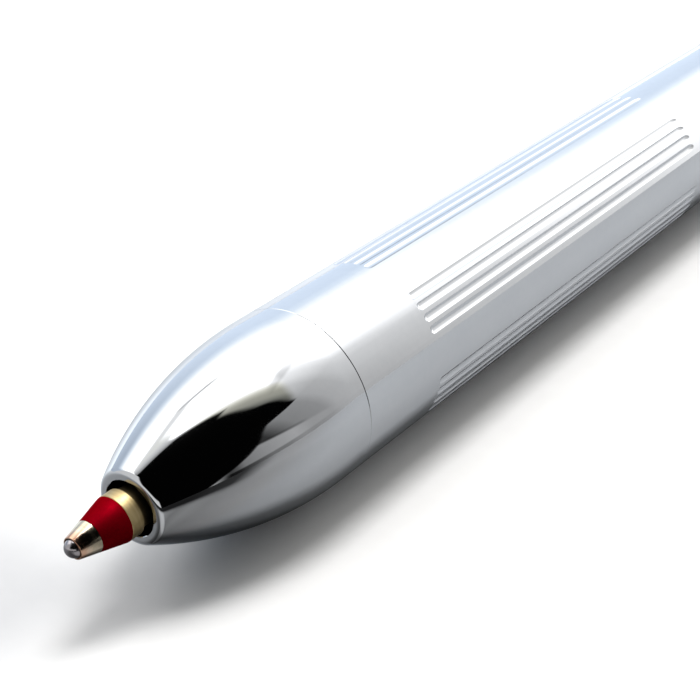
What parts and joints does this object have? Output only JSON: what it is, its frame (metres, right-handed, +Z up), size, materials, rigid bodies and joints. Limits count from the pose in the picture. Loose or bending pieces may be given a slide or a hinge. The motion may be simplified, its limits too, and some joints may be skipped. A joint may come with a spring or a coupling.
{
  "type": "multi pen",
  "caption": "Slim chrome twist pen with an ogive nose, fluted grip and sprung clip; turning the rear barrel swaps a red and a black refill.",
  "frame": {"origin": "on the pen axis, in the middle of the plain stretch of the front barrel, between the flutes and the ring", "axes": "+Y along the pen from the writing point to the cap, +Z up with the pen lying on its barrel and the edge of its clip"},
  "size_m": [0.0111, 0.1348, 0.0094],
  "materials": {
    "chrome": "mirror-polished chrome plate",
    "brass": "turned brass",
    "refill_brass": "drawn pale brass tube",
    "point_nickel": "turned nickel silver",
    "carbide": "ground carbide ball",
    "steel": "drawn steel",
    "rubber": "moulded rubber",
    "acetal": "moulded acetal",
    "holder_plastic": "moulded nylon",
    "red_plastic": "moulded acetal",
    "black_plastic": "moulded acetal",
    "red_lacquer": "glossy dipped lacquer",
    "black_lacquer": "glossy dipped lacquer",
    "red_ink": "ink paste",
    "black_ink": "ink paste"
  },
  "bodies": {
    "front": {"nose_cone": "chrome", "front_barrel": "chrome", "centre_ring": "chrome", "guide_body": "brass", "friction_ring": "rubber", "cam_keeper": "brass", "red_return_spring": "steel", "black_return_spring": "steel"},
    "rear": {"rear_barrel": "chrome", "end_cap": "chrome", "cam_sleeve": "acetal", "drive_bush": "brass", "hub_screw": "steel", "clip_pin": "steel", "clip_spring": "steel"},
    "clip_body": {"clip": "chrome"},
    "red_slider": {"red_holder": "holder_plastic", "red_plunger": "red_plastic"},
    "red_refill": {"red_refill_tube": "refill_brass", "red_point": "point_nickel", "red_ball": "carbide", "red_band": "red_lacquer", "red_ink": "red_ink"},
    "black_slider": {"black_holder": "holder_plastic", "black_plunger": "black_plastic"},
    "black_refill": {"black_refill_tube": "refill_brass", "black_point": "point_nickel", "black_ball": "carbide", "black_band": "black_lacquer", "black_ink": "black_ink"}
  },
  "joints": [
    {"name": "rear_twist", "type": "hinge", "parent": "front", "child": "rear", "pos_m": [0, 0.01855, 0], "axis": [0, 1, 0], "range_deg": [0, 180]},
    {"name": "red_slide", "type": "slide", "parent": "front", "child": "red_slider", "axis": [0, 1, 0], "range_m": [0, 0.0115], "deforming": ["red_return_spring"]},
    {"name": "red_tilt", "type": "hinge", "parent": "red_slider", "child": "red_refill", "pos_m": [0.00125, -0.0048, 0.00217], "axis": [-0.866, 0, 0.5], "range_deg": [0, 2.38]},
    {"name": "black_slide", "type": "slide", "parent": "front", "child": "black_slider", "axis": [0, -1, 0], "range_m": [0, 0.0115], "deforming": ["black_return_spring"]},
    {"name": "black_tilt", "type": "hinge", "parent": "black_slider", "child": "black_refill", "pos_m": [-0.00125, 0.0067, -0.00217], "axis": [-0.866, 0, 0.5], "range_deg": [0, 2.38]},
    {"name": "clip_pivot", "type": "hinge", "parent": "rear", "child": "clip_body", "pos_m": [-0.00259, 0.05909, -0.00152], "axis": [0.505, 0, -0.8631], "range_deg": [0, 7], "stiffness_Nm_per_rad": 0.3, "springref_deg": -2.86, "deforming": ["clip_spring"]}
  ],
  "couplings": [
    {"joint": "red_slide", "follows": "rear_twist", "m_per_rad": 0.0036606},
    {"joint": "red_tilt", "follows": "rear_twist", "ratio": 0.013211},
    {"joint": "black_slide", "follows": "rear_twist", "m_per_rad": 0.0036606},
    {"joint": "black_tilt", "follows": "rear_twist", "ratio": 0.013211}
  ]
}
